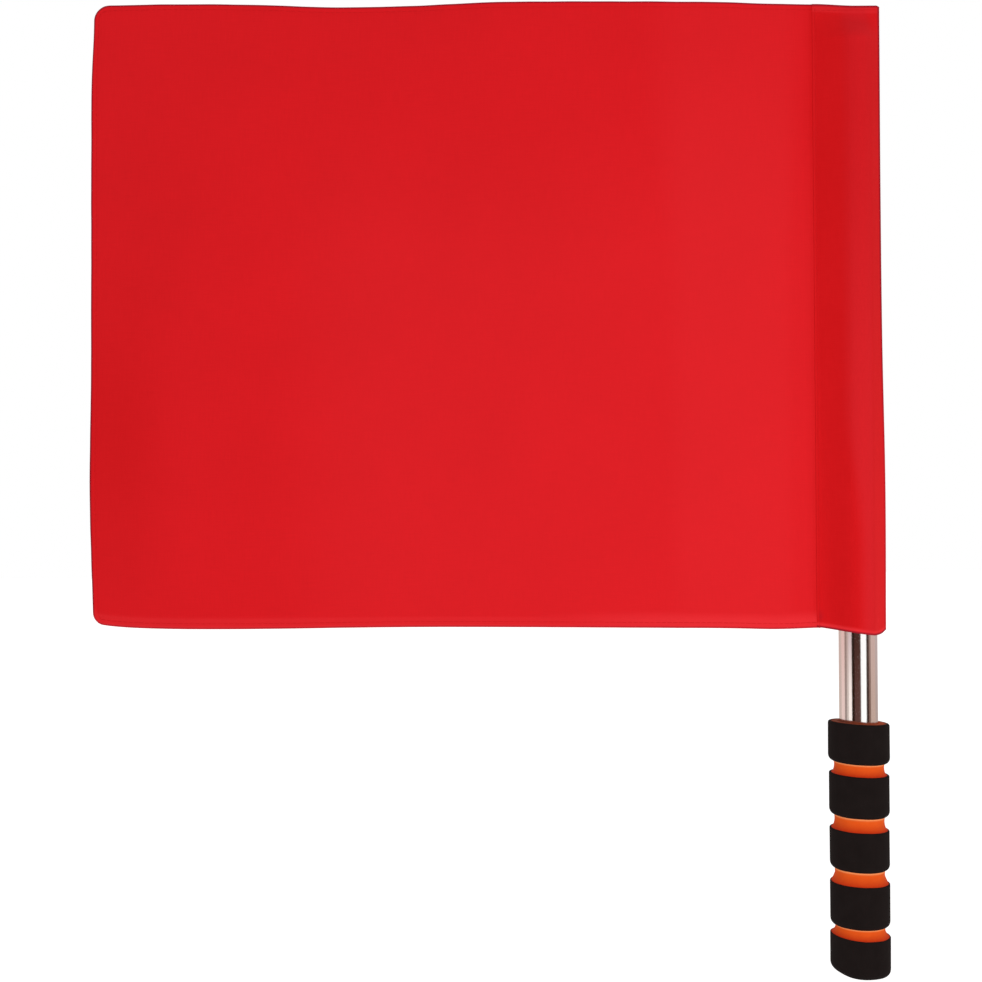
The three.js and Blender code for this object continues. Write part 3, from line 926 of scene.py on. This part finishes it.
def seam_depth(distance):
    """Half depth of the seam at a distance from its edge: a rounded fold, then a ditch at the thread."""
    rounding = math.sqrt(1 - (1 - min(1, distance / edge_rounding)) ** 2)
    ditch = seam_ditch * hump(distance, seam_inset, 0.4 * mm)
    return seam_half - (1 - rounding) * cloth_thickness - ditch


def half_section(share_up):
    """Points (x, depth) of one face of the sleeve, from its sewn edge to its crease."""
    crease = crease_distance * through(crease_shares, share_up)
    tight = ramp(share_up, 0.05, 0.7)
    flat_width = seam_overlap + (tight_overlap - seam_overlap) * tight
    leave_seam = seam_distance - flat_width
    start = math.pi - touch_angle(leave_seam, seam_half)
    end = touch_angle(crease, crease_half)
    touch, leave = spoke(start, sleeve_radius), spoke(end, sleeve_radius)
    hoisted = Vector((-leave_seam, seam_half))
    slack = slack_depth * (1 - tight)
    points = []
    for step in range(12):
        distance = flat_width * (step / 12) ** 1.4
        points.append(Vector((distance - seam_distance, seam_depth(distance))))
    for step in range(14):
        share = step / 14
        point = hoisted.lerp(touch, share)
        points.append(point - Vector((0, slack * math.sin(math.pi * share) * (1 - share))))
    points += [spoke(start + (end - start) * step / 24, sleeve_radius) for step in range(24)]
    crease_edge = Vector((crease - crease_half, crease_half))
    points += [leave.lerp(crease_edge, step / 6) for step in range(6)]
    crease_middle = Vector((crease - crease_half, 0))
    points += [crease_middle + spoke(math.pi / 2 * (1 - step / 4), crease_half) for step in range(5)]
    return points


def full_section(share_up):
    """The whole section: front face (towards -Y) out to the crease and the back face home again."""
    face = half_section(share_up)
    front = [Vector((point.x, -point.y)) for point in face]
    return front + face[-2::-1]


section_width = [0]
level_section = full_section(0.5)
for start, end in zip(level_section, level_section[1:]):
    section_width.append(section_width[-1] + (end - start).length)
print("Sleeve strip:", round(section_width[-1] / mm, 1), "mm wide")


# %% Sleeve mesh
def sleeve_point(section, column, height):
    """A point of the sleeve's outer face, at a column of its section and a height."""
    point = section[column]
    side = math.copysign(1, point.y)
    way_over = min(1, max(0, (height - closing_bottom) / (closing_top - closing_bottom)))
    share_over = 0.25 * way_over + 0.75 * ramp(way_over, 0, 1)
    flat_half = min(abs(point.y), seam_half)
    depth = abs(point.y) + (flat_half - abs(point.y)) * share_over
    gather = ramp(height, gather_bottom, closing_top)
    gather *= ramp(height, closing_top + 1 * mm, closing_top)
    ripple = noise.noise(Vector((point.x / (5 * mm), 2 * side, height / (30 * mm))))
    depth = max(depth + gather_depth * ripple * gather, flat_half)
    mouth = ramp(height, sleeve_bottom + mouth_height, sleeve_bottom)
    lift = mouth_rise * max(0, mouth_low_distance - point.x) / (mouth_low_distance + seam_distance)
    lift += corner_rise * (max(0, point.x - mouth_low_distance) / mouth_low_distance) ** 3
    top_lift = seam_lift * ramp(point.x, 2 * mm, -seam_distance)
    lift = lift * mouth + top_lift * ramp(height, cloth_top - drawn_height, cloth_top)
    at_corner = ramp(point.x, crease_distance - 1.6 * mm, crease_distance)
    lift -= top_corner_drop * at_corner * ramp(height, cloth_top - 3 * mm, cloth_top)
    return Vector((point.x, side * depth, height + lift))


def sleeve_tones(from_crease, x, height):
    """Shares of painted layers shade, painted light and painted fold shade of the sleeve."""
    above_mouth, below_top = height - sleeve_bottom, cloth_top - height
    clear_of_tube = ramp(height, tube_high.z - 4 * mm, tube_high.z + 8 * mm)
    # Painted shade: a deeper red all over, half as deep high on the right, clear of the tube.
    layers = 1 - 0.5 * clear_of_tube * ramp(x, -8 * mm, 2 * mm)
    # Painted light on the hems, a pull line at the mouth, the right flank, the seam's edge and over the
    # tube.
    top_hem = 0.35 * ramp(below_top, 4.4 * mm, 3.4 * mm)
    mouth_hem = 0.8 * ramp(above_mouth, 3.2 * mm, 1.6 * mm)
    pull_light = 0.4 * hump(x, 7.5 * mm + 0.2 * above_mouth, 1.3 * mm)
    pull_light *= ramp(above_mouth, 14 * mm, 7 * mm)
    flank = 0.3 * ramp(x, 2 * mm, 8 * mm) * below_top / (cloth_top - sleeve_bottom)
    seam_edge_light = 0.08 * ramp(x, 1 * mm - seam_distance, 0.4 * mm - seam_distance)
    over_start = -9 * mm + 6 * mm * ramp(below_top, 200 * mm, 270 * mm)
    over_tube = ramp(x, over_start, over_start + 7 * mm) * ramp(x, 9 * mm, 5 * mm)
    tube_light = (0.12 + 0.2 * ramp(below_top, 40 * mm, 200 * mm)) * over_tube
    # Painted shade in a tuck at the mouth, along the crease and the edges, and faintly over the tube.
    tuck_shade = 0.35 * hump(x, -18.6 * mm, 1.2 * mm) * hump(above_mouth, 6 * mm, 3 * mm)
    crease = fold_at(from_crease, crease_reach) * (1 - 0.6 * ramp(height, 300 * mm, 170 * mm))
    fold = max(crease, tuck_shade, 0.12 * over_tube, fold_at(below_top), fold_at(above_mouth))
    return layers, max(top_hem, mouth_hem, pull_light, flank, seam_edge_light, tube_light), fold


sleeve_rows = steps_between(sleeve_bottom, sleeve_bottom + 6 * mm, 0.6 * mm)
sleeve_rows += steps_between(sleeve_bottom + 6 * mm, sleeve_bottom + 16 * mm, 1.2 * mm)
sleeve_rows += steps_between(sleeve_bottom + 16 * mm, gather_bottom, 4 * mm)
sleeve_rows += steps_between(gather_bottom, cloth_top, 0.7 * mm) + [cloth_top]
bm, flat_place = sheet_grid(list(range(len(level_section))), list(range(len(sleeve_rows))))
sections = []
for height in sleeve_rows:
    sections.append(full_section(min(1, (height - sleeve_bottom) / (closing_bottom - sleeve_bottom))))
for vertex in bm.verts:
    column, row = vertex[flat_place].xy
    column, height = round(column), sleeve_rows[round(row)]
    vertex.co = sleeve_point(sections[round(row)], column, height)
    from_crease = abs(section_width[column] - section_width[-1] / 2)
    write_tones(bm, vertex, sleeve_tones(from_crease, vertex.co.x, height))
    vertex[flat_place] = (section_width[column], height, 0)
bmesh.ops.recalc_face_normals(bm, faces=bm.faces)
outward = sum(face.normal.dot(face.calc_center_median().xy.to_3d()) for face in bm.faces)
if outward < 0:
    bmesh.ops.reverse_faces(bm, faces=bm.faces)
bmesh.ops.solidify(bm, geom=bm.faces[:], thickness=cloth_thickness)
bmesh.ops.recalc_face_normals(bm, faces=bm.faces)
map_flat(bm, flat_place)
cloth_sleeve = new_object("cloth_sleeve", bm, red_cloth)
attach(cloth_sleeve, "flag")
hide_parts("pole_sleeve")

# %% [markdown]
# ## Sewing
# A lockstitch shows on both faces as a row of short floats: the thread comes up through one needle hole,
# lies on the cloth for a stitch length, and dips into the next. A curve with a round bevel follows that
# path: proud of the cloth in the middle of each stitch, and sunk in it at each hole.

# %% Thread finish
thread_finish, tree, surface = new_material("red_polyester_thread")
place = add(tree, "ShaderNodeTexCoord")
twist = patches(tree, place.outputs["Object"], 0.3 * mm)
shade = mix(tree, twist, linear("#cb161b"), linear("#d81d22"))
feed(tree, surface, {"Base Color": shade, "Roughness": 0.8, "Specular IOR Level": 0.06})

# %% Rows of stitches
stitch_length = 2.8 * mm
thread_radius = 0.1 * mm
thread_lifts = ((0, -0.6), (0.2, 0.1), (0.5, 0.3), (0.8, 0.1))


def sew(name, rows):
    """Threads along rows of (function from distance to a point, length, side of the cloth)."""
    curve = bpy.data.curves.new(name, "CURVE")
    curve.dimensions = "3D"
    curve.bevel_depth = thread_radius
    curve.bevel_resolution = 1
    curve.use_fill_caps = True
    for follow, length, side in rows:
        outward = Vector((0, side, 0))
        count = round(length / stitch_length)
        points = []
        for index in range(count):
            start, end = follow(length * index / count), follow(length * (index + 1) / count)
            for share, lift in thread_lifts:
                points.append(start.lerp(end, share) + outward * lift * thread_radius * 2)
        spline = curve.splines.new("POLY")
        spline.points.add(len(points) - 1)
        for point, place in zip(spline.points, points):
            point.co = (*place, 1)
    drawn = bpy.data.objects.new(name + "_curve", curve)
    scene.collection.objects.link(drawn)
    mesh = bpy.data.meshes.new_from_object(drawn)
    bpy.data.objects.remove(drawn)
    made = mesh_object(name, mesh, thread_finish)
    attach(made, "flag")
    return made


row_width = panel_width - seam_overlap - stitch_inset
row_height = panel_height - 2 * stitch_inset


def hem_path(distance):
    """Flat place of the hem's thread, from the bottom of the seam round the fly to its top."""
    if distance < row_width:
        return seam_overlap + distance, stitch_inset
    if distance < row_width + row_height:
        return panel_width - stitch_inset, stitch_inset + distance - row_width
    return panel_width - stitch_inset - (distance - row_width - row_height), panel_height - stitch_inset


def hem_row(side):
    """The hem's thread on one face."""
    return lambda distance: panel_point(*hem_path(distance), side), 2 * row_width + row_height, side


hem_stitches = sew("hem_stitches", [hem_row(-1), hem_row(1)])


# %% Seams of the sleeve
def seam_row(side):
    """The thread that joins sleeve and panel, up the whole seam."""
    foot = Vector((seam_inset - seam_distance, side * (seam_half - seam_ditch), sleeve_bottom + 3.2 * mm))
    return (lambda distance: foot + Vector((0, 0, distance)),
            cloth_top - sleeve_bottom - 4 * mm, side)


def top_row(side):
    """The thread that closes the sleeve's flat top."""
    start = Vector((seam_inset - seam_distance, side * seam_half, cloth_top - 2.2 * mm))
    return (lambda distance: start + Vector((distance, 0, 0)),
            seam_distance + crease_distance - 2.6 * mm, side)


sleeve_stitches = sew("sleeve_stitches", [seam_row(-1), seam_row(1), top_row(-1), top_row(1)])

# %% [markdown]
# ## Plugs
# The plugs in the tube's ends are moulded polyethylene, black and slightly waxy. Nothing shows them
# while the flag is whole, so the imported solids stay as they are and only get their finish.

# %% Plug finish
plug_plastic, tree, surface = new_material("moulded_polyethylene")
place = add(tree, "ShaderNodeTexCoord")
mould = patches(tree, place.outputs["Object"], 0.6 * mm)
shade = mix(tree, mould, linear("#17181a"), linear("#1f2022"))
feed(tree, surface, {"Base Color": shade, "Roughness": 0.45,
                     "Normal": bumps(tree, mould, 0.15, 0.05 * mm)})
for name in ("tip_plug", "butt_plug"):
    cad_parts[name].material_slots[0].material = plug_plastic
print("Plugs finished")
